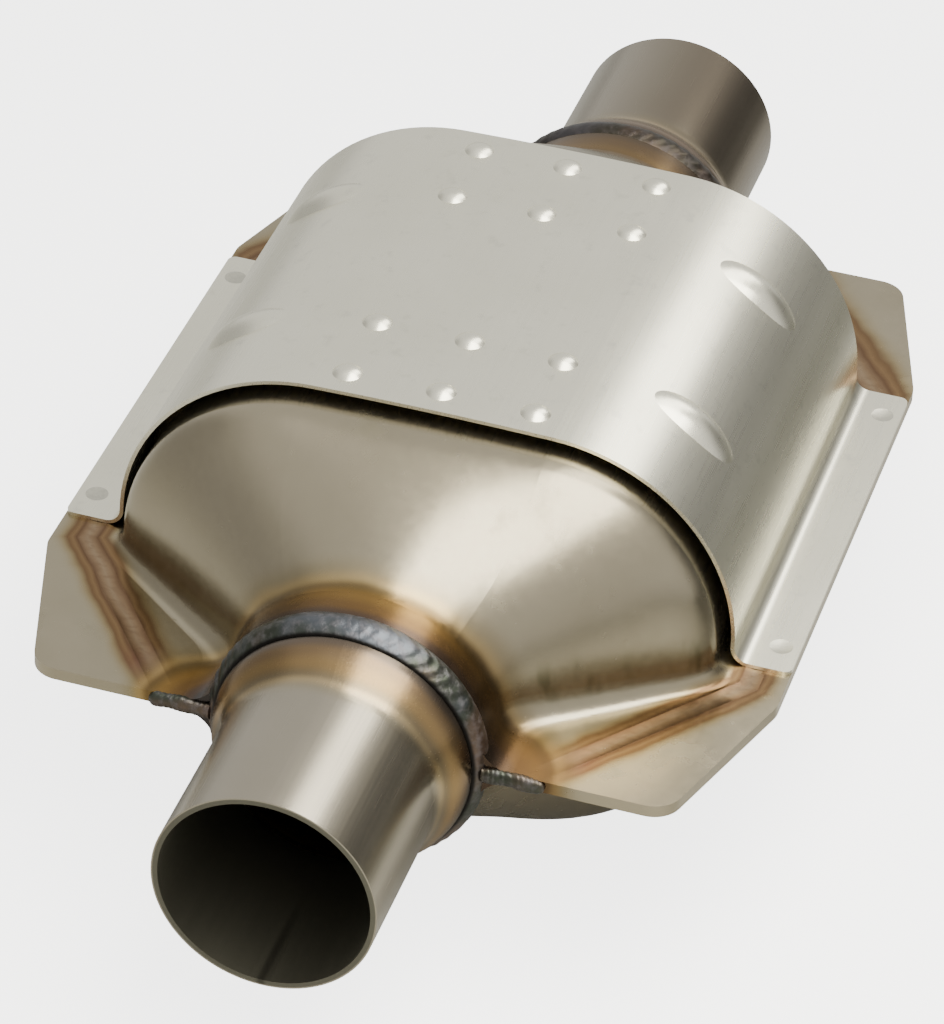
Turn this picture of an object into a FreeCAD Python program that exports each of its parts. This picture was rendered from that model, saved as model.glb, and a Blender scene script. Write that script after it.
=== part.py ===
import FreeCAD, Part
import math
import os
from collections import namedtuple

# Universal catalytic converter with an oval body and a two inch pipe stub at each end.
# Two equal stamped half shells lie flange on flange and hold two wrapped ceramic bricks.
# The origin is the centre of the open end of the inlet pipe, X runs with the gas and Z is up.
# The parting plane of the half shells is z = 0.  All sizes are millimetres.

Vector = FreeCAD.Vector
ALONG_X = Vector(1, 0, 0)
ALONG_Y = Vector(0, 1, 0)

# Lengths along the flow, the same at both ends
stub_straight = 39.5
flare_length = 13.5
weld_land = 2.2
neck_length = 12.8
cone_length = 38.0
body_length = 118.0

# Pipe stubs: two inch tube, widened to fill the neck
pipe_outer_r = 25.4
pipe_wall = 1.5
pipe_insertion = 12.0
pipe_fit = 0.1

# Half shells: upright sides, shoulder circles and a shallow crown
shell_sheet = 1.5
body_shoulder_r = 43.5
body_centre_y = 27.0
body_crown_angle = math.radians(1.5)
neck_crown_angle = math.radians(40.0)
neck_outer_r = 31.5
root_bend_r = 4.5
neck_root_bend_r = 8.0
body_knuckle = 8.0
neck_knuckle = 8.0
cone_sections = 10

# Flange outline: parallel sides, tapered corners and straight ends
flange_land = 12.0
flange_end_step = 13.4
flange_taper_length = 43.9
flange_corner_r = 7.0
trim_allowance = 1.0

# Stiffening beads pressed outwards across the body of each half shell
bead_count = 4
bead_pitch = 29.0
bead_width = 9.0
bead_height = 1.6
bead_end_angle = math.radians(24.0)

# Resistance seam weld through both flanges, and the shallow track of its rollers
seam_from_root = 4.0
seam_from_neck_root = 7.2
seam_end_margin = 4.5
seam_corner_margin = 2.1
seam_track_width = 4.6
seam_track_depth = 0.3
seam_metal_width = 4.0
seam_metal_depth = 0.8

# Welding wire deposits: a ring round each neck and a short bead along each flange end
ring_weld_neck_leg = 5.0
ring_weld_pipe_leg = 2.0
ring_weld_rise = 2.2
edge_weld_r = 2.0
edge_weld_offset = 0.4
edge_weld_reach = 46.0

# Heat shield over the upper half shell
shield_sheet = 0.9
shield_gap = 2.2
shield_length = 115.0
shield_shift = 3.0
shield_corner_r = 2.0
dimple_width = 7.0
dimple_height = 1.5
dimple_rim_margin = 7.5
dimple_row_pitch = 21.5
dimple_side_pitch = 22.0
rib_width = 11.0
rib_height = 2.0
rib_length = 23.6
rib_angle = math.radians(54.0)
rib_tool_sweep = math.radians(110.0)

# Spot welds that hold the shield to the flange
spot_weld_r = 2.7
spot_weld_rim_margin = 8.9
spot_weld_side_margin = 4.5
spot_weld_depth = 0.7
spot_weld_dish = 0.3

# Ceramic bricks, their mats and the wire mesh rings at the ends of each mat
brick_length = 50.8
brick_spacing = 8.0
brick_skin = 1.6
mat_thickness = 5.0
mat_fit = 0.1
mesh_ring_length = 3.0
channel_pitch = 6.2
channel_opening = 3.9

# Places along X
shell_start = stub_straight + flare_length + weld_land
cone_start = shell_start + neck_length
body_start = cone_start + cone_length
middle = body_start + body_length / 2
body_end = body_start + body_length
shell_end = body_end + cone_length + neck_length

# Radii and widths that follow from the sheet, its bends and its fits
shield_bend_r = root_bend_r - shield_sheet
flange_half_width = body_centre_y + body_shoulder_r + root_bend_r + flange_land
flange_end_half_width = flange_half_width - flange_end_step
neck_inner_r = neck_outer_r - shell_sheet
pipe_seat_r = neck_inner_r - pipe_fit

# Upper outline of a section: two shoulder circles and the crown arc tangent to both
Arch = namedtuple("Arch", "shoulder radius crown_angle")


def offset(arch, distance):
    """The arch parallel to this one, outside it by a distance."""
    return arch._replace(radius=arch.radius + distance)


body_arch = Arch((body_centre_y, shell_sheet + root_bend_r), body_shoulder_r, body_crown_angle)
neck_arch = Arch((0.0, 0.0), neck_outer_r, neck_crown_angle)
shield_arch = offset(body_arch, shield_gap + shield_sheet)
mat_arch = offset(body_arch, -(shell_sheet + mat_fit))
bore_arch = offset(mat_arch, -mat_thickness)
brick_arch = offset(bore_arch, -mat_fit)


def polar(centre, radius, angle):
    """Point in the Y-Z plane at an angle above the parting plane."""
    return (centre[0] + radius * math.cos(angle), centre[1] + radius * math.sin(angle))


def crown_centre(arch):
    return (0.0, arch.shoulder[1] - arch.shoulder[0] / math.tan(arch.crown_angle))


def crown_r(arch):
    return arch.radius + arch.shoulder[0] / math.sin(arch.crown_angle)


def crown_height(arch, y=0.0):
    """Height of the crown arc above the parting plane at a distance y from the middle."""
    return math.sqrt(crown_r(arch) ** 2 - y ** 2) + crown_centre(arch)[1]


def arch_points(arch, foot_z, bend_r):
    """Right half of an arched sheet face, from the flat flange up to the crown, as (y, z).

    The concave root bend, the circle about the shoulder centre and the crown arc meet with
    common tangents.
    """
    reach = arch.radius + bend_r
    root_angle = math.asin((foot_z + bend_r - arch.shoulder[1]) / reach)
    bend_centre = polar(arch.shoulder, reach, root_angle)
    crown_start = math.pi / 2 - arch.crown_angle
    bend_middle = math.pi + (root_angle + math.pi / 2) / 2
    return [
        (bend_centre[0], foot_z),
        polar(bend_centre, bend_r, bend_middle),
        polar(arch.shoulder, arch.radius, root_angle),
        polar(arch.shoulder, arch.radius, (root_angle + crown_start) / 2),
        polar(arch.shoulder, arch.radius, crown_start),
    ]


def place(x, point):
    return Vector(x, point[0], point[1])


def mirrored(point):
    return (-point[0], point[1])


def arc(x, first, through, last):
    return Part.Arc(place(x, first), place(x, through), place(x, last)).toShape()


def line(x, first, last):
    return Part.makeLine(place(x, first), place(x, last))


def arch_edges(x, arch, foot_z, bend_r):
    """The five arcs of a whole arched face at station x, from the right foot to the left foot."""
    right = arch_points(arch, foot_z, bend_r)
    left = [mirrored(point) for point in right]
    top = (0.0, crown_height(arch))
    return [
        arc(x, right[0], right[1], right[2]),
        arc(x, right[2], right[3], right[4]),
        arc(x, right[4], top, left[4]),
        arc(x, left[4], left[3], left[2]),
        arc(x, left[2], left[1], left[0]),
    ]


def hat_wire(x, arch, base_z, sheet, bend_r):
    """Closed section of an arch with flat flanges, filled down to base_z."""
    foot_z = base_z + sheet
    foot = arch_points(arch, foot_z, bend_r)[0]
    skirt = flange_half_width + trim_allowance
    right_top = (skirt, foot_z)
    right_base = (skirt, base_z)
    edges = [line(x, right_base, right_top), line(x, right_top, foot)]
    edges += arch_edges(x, arch, foot_z, bend_r)
    edges += [
        line(x, mirrored(foot), mirrored(right_top)),
        line(x, mirrored(right_top), mirrored(right_base)),
        line(x, mirrored(right_base), right_base),
    ]
    return Part.Wire(edges)


def cavity_wire(x, arch, base_z, bend_r):
    """Closed section of the hollow under an arch, down to base_z."""
    foot = arch_points(arch, base_z, bend_r)[0]
    edges = arch_edges(x, arch, base_z, bend_r)
    edges.append(line(x, mirrored(foot), foot))
    return Part.Wire(edges)


def prism(wire, length):
    return Part.Face(wire).extrude(ALONG_X * length)


def cone_share(distance):
    """How far the section has turned from the body (0) to the neck (1), and its rate of change.

    The wall turns in on a parabola, runs straight and turns out on a parabola.
    """
    slope = 1.0 / (cone_length - (body_knuckle + neck_knuckle) / 2)
    to_neck = cone_length - distance
    if distance < body_knuckle:
        return slope * distance ** 2 / (2 * body_knuckle), slope * distance / body_knuckle
    if to_neck < neck_knuckle:
        return 1 - slope * to_neck ** 2 / (2 * neck_knuckle), slope * to_neck / neck_knuckle
    return slope * (distance - body_knuckle / 2), slope


def blend(first, last, share):
    return first + (last - first) * share


def cone_section(distance):
    """Arch, root bend radius and wall thickness in the section plane, between body and neck."""
    share, rate = cone_share(distance)
    shoulder = (blend(body_arch.shoulder[0], neck_arch.shoulder[0], share),
                blend(body_arch.shoulder[1], neck_arch.shoulder[1], share))
    arch = Arch(shoulder, blend(body_shoulder_r, neck_outer_r, share),
                blend(body_crown_angle, neck_crown_angle, share))
    slope = (body_shoulder_r - neck_outer_r + body_centre_y / 2) * rate
    return arch, blend(root_bend_r, neck_root_bend_r, share), shell_sheet * math.sqrt(1 + slope ** 2)


def cone_solid():
    """One stamped cone, from the oval body to the round neck, lofted through its sections."""
    outer = []
    inner = []
    for index in range(cone_sections + 1):
        distance = cone_length * index / cone_sections
        x = body_end + distance
        arch, bend_r, wall = cone_section(distance)
        outer.append(hat_wire(x, arch, 0.0, shell_sheet, bend_r))
        inner.append(cavity_wire(x, offset(arch, -wall), 0.0, bend_r + shell_sheet))
    return Part.makeLoft(outer, True, False).cut(Part.makeLoft(inner, True, False))


def neck_solid():
    """Straight round neck with the flange at its sides."""
    x = body_end + cone_length
    inner_arch = offset(neck_arch, -shell_sheet)
    outer = prism(hat_wire(x, neck_arch, 0.0, shell_sheet, neck_root_bend_r), neck_length)
    inner = prism(cavity_wire(x, inner_arch, 0.0, neck_root_bend_r + shell_sheet), neck_length)
    return outer.cut(inner)


def bent_rod(x, centre, bend_r, rod_r, start_angle, sweep):
    """Round rod bent in the section plane about a centre, from a start angle through a sweep."""
    start = place(x, polar(centre, bend_r, start_angle))
    direction = Vector(0, -math.sin(start_angle), math.cos(start_angle))
    disc = Part.Face(Part.Wire([Part.makeCircle(rod_r, start, direction)]))
    return disc.revolve(place(x, centre), ALONG_X, math.degrees(sweep))


def rod_over_arch(x, arch, rod_r, end_angle):
    """Round rod bent over the arch between the end angles, with ball ends, as a pressing tool."""
    crown_start = math.pi / 2 - arch.crown_angle
    right = bent_rod(x, arch.shoulder, arch.radius, rod_r, end_angle, crown_start - end_angle)
    left = right.mirror(Vector(0, 0, 0), ALONG_Y)
    crown = bent_rod(x, crown_centre(arch), crown_r(arch), rod_r, crown_start, 2 * arch.crown_angle)
    end = polar(arch.shoulder, arch.radius, end_angle)
    balls = [Part.makeSphere(rod_r, place(x, point)) for point in (end, mirrored(end))]
    return right.multiFuse([crown, left] + balls)


def cap_sphere_r(width, height):
    """Radius of the sphere or circle whose cap has this width and height."""
    return (width ** 2 / 4 + height ** 2) / (2 * height)


def body_solid():
    """Straight oval body with its stiffening beads."""
    inner_arch = offset(body_arch, -shell_sheet)
    outer = prism(hat_wire(body_start, body_arch, 0.0, shell_sheet, root_bend_r), body_length)
    inner = prism(cavity_wire(body_start, inner_arch, 0.0, root_bend_r + shell_sheet), body_length)
    rod_r = cap_sphere_r(bead_width, bead_height)
    rod_line = offset(body_arch, bead_height - rod_r)
    stations = [middle + (index - (bead_count - 1) / 2) * bead_pitch for index in range(bead_count)]
    outer_rods = [rod_over_arch(x, rod_line, rod_r, bead_end_angle) for x in stations]
    inner_rods = [rod_over_arch(x, rod_line, rod_r - shell_sheet, bead_end_angle) for x in stations]
    return outer.multiFuse(outer_rods).cut(inner.multiFuse(inner_rods))


def rounded_outline(corners, radius):
    """Closed face on the parting plane with every corner rounded to one radius."""
    edges = []
    count = len(corners)
    starts = []
    for index in range(count):
        corner = Vector(*corners[index], 0)
        before = (Vector(*corners[index - 1], 0) - corner).normalize()
        after = (Vector(*corners[(index + 1) % count], 0) - corner).normalize()
        half_turn = before.getAngle(after) / 2
        setback = radius / math.tan(half_turn)
        to_centre = (before + after).normalize()
        middle_point = corner + to_centre * (radius / math.sin(half_turn) - radius)
        starts.append((corner + before * setback, middle_point, corner + after * setback))
    for index in range(count):
        first, through, last = starts[index]
        edges.append(Part.Arc(first, through, last).toShape())
        edges.append(Part.makeLine(last, starts[(index + 1) % count][0]))
    return Part.Face(Part.Wire(edges))


def flange_outline():
    """Eight sided plan of the flanges, wide along the body and tapered towards the pipes."""
    straight_start = shell_start + flange_taper_length
    straight_end = shell_end - flange_taper_length
    side = [(shell_start, flange_end_half_width), (straight_start, flange_half_width),
            (straight_end, flange_half_width), (shell_end, flange_end_half_width)]
    other = [(x, -y) for x, y in reversed(side)]
    return rounded_outline(side + other, flange_corner_r)


def seam_path():
    """Plan of the left seam weld, outside the root of the shell from neck to neck."""
    body_foot = arch_points(body_arch, shell_sheet, root_bend_r)[0][0]
    neck_foot = arch_points(neck_arch, shell_sheet, neck_root_bend_r)[0][0]
    along_y = body_foot + seam_from_root
    end_y = neck_foot + seam_from_neck_root
    return [(shell_start + seam_end_margin, end_y), (body_start - seam_corner_margin, along_y),
            (body_end + seam_corner_margin, along_y), (shell_end - seam_end_margin, end_y)]


def ribbon(path, width, low_z, high_z):
    """Flat band of one width along a plan path, round at its ends and corners."""
    height = high_z - low_z
    pieces = [Part.makeCylinder(width / 2, height, Vector(x, y, low_z)) for x, y in path]
    for (x0, y0), (x1, y1) in zip(path, path[1:]):
        run = Vector(x1 - x0, y1 - y0, 0)
        side = Vector(-run.y, run.x, 0).normalize() * (width / 2)
        first = Vector(x0, y0, low_z)
        last = Vector(x1, y1, low_z)
        corners = [first + side, last + side, last - side, first - side, first + side]
        pieces.append(Part.Face(Part.makePolygon(corners)).extrude(Vector(0, 0, height)))
    return pieces[0].multiFuse(pieces[1:]).removeSplitter()


def half_shell(seam_metal):
    """One half shell, as the upper one lies; the lower one is the same stamping turned over."""
    far = cone_solid().fuse(neck_solid())
    near = far.mirror(Vector(middle, 0, 0), ALONG_X)
    arched = body_solid().multiFuse([far, near])
    plan = flange_outline().extrude(Vector(0, 0, 2 * crown_height(body_arch)))
    track = ribbon(seam_path(), seam_track_width, shell_sheet - seam_track_depth, 2 * shell_sheet)
    tracks = [track, track.mirror(Vector(0, 0, 0), ALONG_Y)]
    return arched.common(plan).cut(tracks + seam_metal)


def pipe_profile(inset):
    """Face of a stub's wall, this far in from its outside, from the open end to the inner end.

    Two equal arcs with a common tangent carry the tube out to the radius of its seat.
    """
    rise = pipe_seat_r - pipe_outer_r
    turn = 2 * math.atan(rise / flare_length)
    bend_r = flare_length / (2 * math.sin(turn))
    flare_start = Vector(stub_straight, 0, pipe_outer_r - inset)
    flare_end = Vector(stub_straight + flare_length, 0, pipe_seat_r - inset)
    first_centre = flare_start + Vector(0, 0, bend_r + inset)
    last_centre = flare_end - Vector(0, 0, bend_r - inset)

    def on_first(angle):
        return first_centre + Vector(math.sin(angle), 0, -math.cos(angle)) * (bend_r + inset)

    def on_last(angle):
        return last_centre + Vector(-math.sin(angle), 0, math.cos(angle)) * (bend_r - inset)

    return [
        Part.makeLine(Vector(0, 0, pipe_outer_r - inset), flare_start),
        Part.Arc(flare_start, on_first(turn / 2), on_first(turn)).toShape(),
        Part.Arc(on_last(turn), on_last(turn / 2), flare_end).toShape(),
        Part.makeLine(flare_end, Vector(shell_start + pipe_insertion, 0, pipe_seat_r - inset)),
    ]


def pipe_stub():
    """Inlet stub: one length of tube, swaged up at the end that goes into the neck."""
    outer = pipe_profile(0.0)
    inner = pipe_profile(pipe_wall)
    open_end = Part.makeLine(inner[0].Vertexes[0].Point, outer[0].Vertexes[0].Point)
    inner_end = Part.makeLine(outer[-1].Vertexes[-1].Point, inner[-1].Vertexes[-1].Point)
    wire = Part.Wire(Part.__sortEdges__([open_end] + outer + [inner_end] + inner))
    return Part.Face(wire).revolve(Vector(0, 0, 0), ALONG_X, 360)


def ring_weld(half_shells):
    """Ring of weld metal over the end of the neck, down to the widened pipe."""
    neck_toe = Vector(shell_start + ring_weld_neck_leg, 0, neck_outer_r)
    pipe_toe = Vector(shell_start - ring_weld_pipe_leg, 0, pipe_seat_r)
    chord = neck_toe - pipe_toe
    normal = Vector(-chord.z, 0, chord.x).normalize()
    crest = (neck_toe + pipe_toe) * 0.5 + normal * ring_weld_rise
    inside_neck_wall = (neck_outer_r + neck_inner_r) / 2
    corners = [pipe_toe, Vector(shell_start, 0, pipe_seat_r), Vector(shell_start, 0, inside_neck_wall),
               Vector(neck_toe.x, 0, inside_neck_wall), neck_toe]
    lines = [Part.makeLine(first, last) for first, last in zip(corners, corners[1:])]
    face = Part.Face(Part.Wire(lines + [Part.Arc(neck_toe, crest, pipe_toe).toShape()]))
    return face.revolve(Vector(0, 0, 0), ALONG_X, 360).cut(half_shells)


def edge_weld(ring, half_shells):
    """Bead along the left end edge of the two flanges, from the ring weld outwards."""
    x = shell_start - edge_weld_offset
    start = Vector(x, neck_outer_r, 0)
    rod = Part.makeCylinder(edge_weld_r, edge_weld_reach - edge_weld_r - neck_outer_r, start, ALONG_Y)
    tip = Part.makeSphere(edge_weld_r, Vector(x, edge_weld_reach - edge_weld_r, 0))
    return rod.fuse(tip).removeSplitter().cut([ring] + half_shells)


def dimple_stations():
    """Distances from the middle of the shield of its outer and inner rows of dimples."""
    outer_row = shield_length / 2 - dimple_rim_margin
    return [outer_row, outer_row - dimple_row_pitch]


def dimples(inset):
    """Round dimples pressed outwards in the crown of the shield, three to a row."""
    ball_r = cap_sphere_r(dimple_width, dimple_height)
    balls = []
    for distance in dimple_stations():
        for x in (middle + shield_shift - distance, middle + shield_shift + distance):
            for y in (-dimple_side_pitch, 0.0, dimple_side_pitch):
                z = crown_height(shield_arch, y) + dimple_height - ball_r
                balls.append(Part.makeSphere(ball_r - inset, Vector(x, y, z)))
    return balls


def shoulder_ribs(inset):
    """Tapered ribs pressed outwards in the shoulders, in line with the inner rows of dimples."""
    section_r = cap_sphere_r(rib_width, rib_height)
    half_length = rib_length / 2
    shoulder_r = shield_arch.radius
    drop = rib_height + shoulder_r - math.sqrt(shoulder_r ** 2 - half_length ** 2)
    bow_r = (half_length ** 2 + drop ** 2) / (2 * drop)
    bow_centre = polar(shield_arch.shoulder, shoulder_r + rib_height - bow_r, rib_angle)
    rods = []
    for distance in (-dimple_stations()[1], dimple_stations()[1]):
        x = middle + shield_shift + distance
        rod = bent_rod(x, bow_centre, bow_r - section_r, section_r - inset,
                       rib_angle - rib_tool_sweep / 2, rib_tool_sweep)
        rods += [rod, rod.mirror(Vector(0, 0, 0), ALONG_Y)]
    return rods


def heat_shield(spot_welds):
    """Thin pressed cover over the upper half shell, flat flanges lying on those of the shell."""
    start = middle + shield_shift - shield_length / 2
    inner_arch = offset(shield_arch, -shield_sheet)
    outer = prism(hat_wire(start, shield_arch, shell_sheet, shield_sheet, shield_bend_r), shield_length)
    inner = prism(cavity_wire(start, inner_arch, shell_sheet, shield_bend_r + shield_sheet), shield_length)
    outer = outer.multiFuse(dimples(0.0) + shoulder_ribs(0.0))
    inner = inner.multiFuse(dimples(shield_sheet) + shoulder_ribs(shield_sheet))
    corners = [(start, flange_half_width), (start + shield_length, flange_half_width),
               (start + shield_length, -flange_half_width), (start, -flange_half_width)]
    plan = rounded_outline(corners, shield_corner_r).extrude(Vector(0, 0, 2 * crown_height(shield_arch)))
    return outer.cut(inner).common(plan).cut(spot_welds)


def spot_weld(x, y):
    """Slug of weld metal through the shield flange, dished on top by the electrode."""
    top = shell_sheet + shield_sheet
    slug = Part.makeCylinder(spot_weld_r, spot_weld_depth + shield_sheet,
                             Vector(x, y, shell_sheet - spot_weld_depth))
    dish_r = cap_sphere_r(2 * spot_weld_r, spot_weld_dish)
    return slug, slug.cut(Part.makeSphere(dish_r, Vector(x, y, top + dish_r - spot_weld_dish)))


def oval_wire(x, arch):
    """Closed oval of an arch and its mirror image, joined by upright sides."""
    crown_start = math.pi / 2 - arch.crown_angle
    top = (0.0, crown_height(arch))
    right = [polar(arch.shoulder, arch.radius, angle) for angle in (0.0, crown_start / 2, crown_start)]
    left = [mirrored(point) for point in right]
    right_low = [(y, -z) for y, z in right]
    left_low = [(y, -z) for y, z in left]
    return Part.Wire([
        line(x, right_low[0], right[0]),
        arc(x, *right),
        arc(x, right[2], top, left[2]),
        arc(x, left[2], left[1], left[0]),
        line(x, left[0], left_low[0]),
        arc(x, *left_low),
        arc(x, left_low[2], (0.0, -top[1]), right_low[2]),
        arc(x, right_low[2], right_low[1], right_low[0]),
    ])


def oval_ring(x, length):
    """Oval ring that fills the space between a brick and the shell."""
    return prism(oval_wire(x, mat_arch), length).cut(prism(oval_wire(x, bore_arch), length))


def inside_oval(y, z, arch):
    side = abs(y) - arch.shoulder[0]
    height = abs(z) - arch.shoulder[1]
    if height <= 0:
        return side <= arch.radius
    if side > height * math.tan(arch.crown_angle):
        return math.hypot(side, height) <= arch.radius
    return math.hypot(y, abs(z) - crown_centre(arch)[1]) <= crown_r(arch)


def channel_wires(x):
    """Square channels on a grid, each one whole and clear of the skin of the brick."""
    half = channel_opening / 2
    core = offset(brick_arch, -brick_skin)
    columns = int((core.shoulder[0] + core.radius) / channel_pitch)
    rows = int(crown_height(core) / channel_pitch)
    wires = []
    for column in range(-columns, columns + 1):
        for row in range(-rows, rows + 1):
            y = column * channel_pitch
            z = row * channel_pitch
            corners = [(y - half, z - half), (y + half, z - half), (y + half, z + half), (y - half, z + half)]
            if all(inside_oval(cy, cz, core) for cy, cz in corners):
                wires.append(Part.makePolygon([place(x, corner) for corner in corners + corners[:1]]))
    return wires


def brick(x):
    """Extruded ceramic brick, open from face to face through square channels."""
    face = Part.makeFace([oval_wire(x, brick_arch)] + channel_wires(x), "Part::FaceMakerBullseye")
    return face.extrude(ALONG_X * brick_length)


def turned_over(shape):
    """The same piece turned over about the axis of the pipes."""
    copy = shape.copy()
    copy.rotate(Vector(0, 0, 0), ALONG_X, 180)
    return copy


def at_outlet(shape):
    """The same piece at the other end of the converter."""
    return shape.mirror(Vector(middle, 0, 0), ALONG_X)


def at_right(shape):
    """The same piece on the other side of the converter."""
    return shape.mirror(Vector(0, 0, 0), ALONG_Y)


def single_solid(shape):
    """The one solid of a boolean result, with split faces joined again."""
    solids = shape.removeSplitter().Solids
    if len(solids) != 1:
        raise ValueError("expected one solid, found %d" % len(solids))
    return solids[0]


seam_left = ribbon(seam_path(), seam_metal_width, -seam_metal_depth, seam_metal_depth)
seam_right = at_right(seam_left)

spot_half_run = shield_length / 2 - spot_weld_rim_margin
spot_y = flange_half_width - spot_weld_side_margin
spot_places = {
    "front_left": (middle + shield_shift - spot_half_run, spot_y),
    "front_right": (middle + shield_shift - spot_half_run, -spot_y),
    "rear_left": (middle + shield_shift + spot_half_run, spot_y),
    "rear_right": (middle + shield_shift + spot_half_run, -spot_y),
}
spot_slugs = []
spot_welds = {}
for name, (spot_x, side_y) in spot_places.items():
    slug, dished = spot_weld(spot_x, side_y)
    spot_slugs.append(slug)
    spot_welds[name] = dished

stamping = half_shell([seam_left, seam_right])
upper = stamping.cut(spot_slugs)
lower = turned_over(stamping)
inlet = pipe_stub()
inlet_ring = ring_weld([upper, lower])
inlet_edge_weld = edge_weld(inlet_ring, [upper, lower])

front_brick_start = middle - brick_spacing / 2 - brick_length
rear_brick_start = middle + brick_spacing / 2
mat_length = brick_length - 2 * mesh_ring_length

pieces = {
    "upper_shell": upper,
    "lower_shell": lower,
    "heat_shield": heat_shield(spot_slugs),
    "inlet_pipe": inlet,
    "outlet_pipe": at_outlet(inlet),
    "inlet_ring_weld": inlet_ring,
    "outlet_ring_weld": at_outlet(inlet_ring),
    "inlet_left_edge_weld": inlet_edge_weld,
    "inlet_right_edge_weld": at_right(inlet_edge_weld),
    "outlet_left_edge_weld": at_outlet(inlet_edge_weld),
    "outlet_right_edge_weld": at_right(at_outlet(inlet_edge_weld)),
    "left_seam_weld": seam_left,
    "right_seam_weld": seam_right,
}
for name, weld in spot_welds.items():
    pieces[name + "_spot_weld"] = weld
for name, start in (("front", front_brick_start), ("rear", rear_brick_start)):
    pieces[name + "_brick"] = brick(start)
    pieces[name + "_mat"] = oval_ring(start + mesh_ring_length, mat_length)
    pieces[name + "_brick_inlet_mesh_ring"] = oval_ring(start, mesh_ring_length)
    pieces[name + "_brick_outlet_mesh_ring"] = oval_ring(start + brick_length - mesh_ring_length,
                                                        mesh_ring_length)

os.makedirs("parts", exist_ok=True)
for name, shape in pieces.items():
    single_solid(shape).exportStep("parts/" + name + ".step")
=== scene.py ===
import math

import bpy
import numpy as np
from mathutils import Matrix, Vector


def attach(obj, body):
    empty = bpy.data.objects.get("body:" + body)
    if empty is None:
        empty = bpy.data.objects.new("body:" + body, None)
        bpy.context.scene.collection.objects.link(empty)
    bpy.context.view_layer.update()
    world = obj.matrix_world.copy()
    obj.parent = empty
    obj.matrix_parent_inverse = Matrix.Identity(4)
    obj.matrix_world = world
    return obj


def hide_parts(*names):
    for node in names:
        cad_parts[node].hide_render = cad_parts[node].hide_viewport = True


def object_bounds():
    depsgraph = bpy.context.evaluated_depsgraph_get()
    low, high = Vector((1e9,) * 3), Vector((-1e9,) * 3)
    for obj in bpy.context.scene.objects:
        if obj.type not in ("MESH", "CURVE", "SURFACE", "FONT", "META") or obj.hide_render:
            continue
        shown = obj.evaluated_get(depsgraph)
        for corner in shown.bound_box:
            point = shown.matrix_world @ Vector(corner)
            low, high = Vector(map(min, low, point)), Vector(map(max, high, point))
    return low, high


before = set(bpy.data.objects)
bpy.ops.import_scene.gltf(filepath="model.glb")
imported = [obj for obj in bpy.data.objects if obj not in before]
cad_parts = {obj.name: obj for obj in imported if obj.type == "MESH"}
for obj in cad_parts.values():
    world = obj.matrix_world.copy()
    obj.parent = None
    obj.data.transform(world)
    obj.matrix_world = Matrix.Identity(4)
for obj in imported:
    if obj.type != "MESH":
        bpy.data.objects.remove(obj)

cad_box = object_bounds()


# Ceramic bricks. Two extruded honeycombs with a pale brown washcoat, seen only down the pipes. Thin
# walls cross inside an oval skin, and the mat round the skin holds each brick.

MM = 0.001  # metres in a millimetre, the unit of the sizes below
MIDDLE = 165.0
BRICK_LENGTH = 50.8
BRICK_SPACING = 8.0
BRICK_R = 36.8
BRICK_SHOULDER = (27.0, 6.0)
BRICK_CROWN_ANGLE = math.radians(1.5)
BRICK_SKIN = 0.8
CELL_PITCH = 1.27
CELL_WALL = 0.2
FACE_STEP = 0.1
WASHCOAT = (176, 156, 126)
STAIN = (140, 124, 102)
GRIT = (120, 104, 84)


def oval_quarter(radius):
    """Points of a quarter of the oval: a shoulder circle, then the crown arc that is tangent to it."""
    across, up = BRICK_SHOULDER
    turn = np.linspace(0, math.pi / 2 - BRICK_CROWN_ANGLE, 40)
    crown_r = radius + across / math.sin(BRICK_CROWN_ANGLE)
    crown_z = up - across / math.tan(BRICK_CROWN_ANGLE)
    last = np.linspace(BRICK_CROWN_ANGLE, 0, 8)[1:]
    y = np.concatenate([across + radius * np.cos(turn), crown_r * np.sin(last)])
    z = np.concatenate([up + radius * np.sin(turn), crown_z + crown_r * np.cos(last)])
    return y, z


def brick_skin(start):
    """Points and faces of the skin: four ovals, outer and inner at each face, joined round the wall.

    An oval is its quarter, mirrored in Y and then turned half round.
    """
    outer = oval_quarter(BRICK_R)
    inner = oval_quarter(BRICK_R - BRICK_SKIN)
    ovals = []
    for (y, z), x in ((outer, 0.0), (outer, BRICK_LENGTH), (inner, BRICK_LENGTH), (inner, 0.0)):
        half_y = np.concatenate([y, -y[-2::-1]])
        half_z = np.concatenate([z, z[-2::-1]])
        ovals.append(np.stack([np.full(2 * len(half_y), start + x), np.concatenate([half_y, -half_y]),
                               np.concatenate([half_z, -half_z])], axis=-1))
    points = np.stack(ovals)
    index = np.arange(points.shape[0] * points.shape[1]).reshape(points.shape[:2])
    after = np.roll(index, -1, axis=1)
    faces = np.stack([index, after, np.roll(after, -1, axis=0), np.roll(index, -1, axis=0)], axis=-1)
    return points.reshape(-1, 3), faces.reshape(-1, 4)


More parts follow.
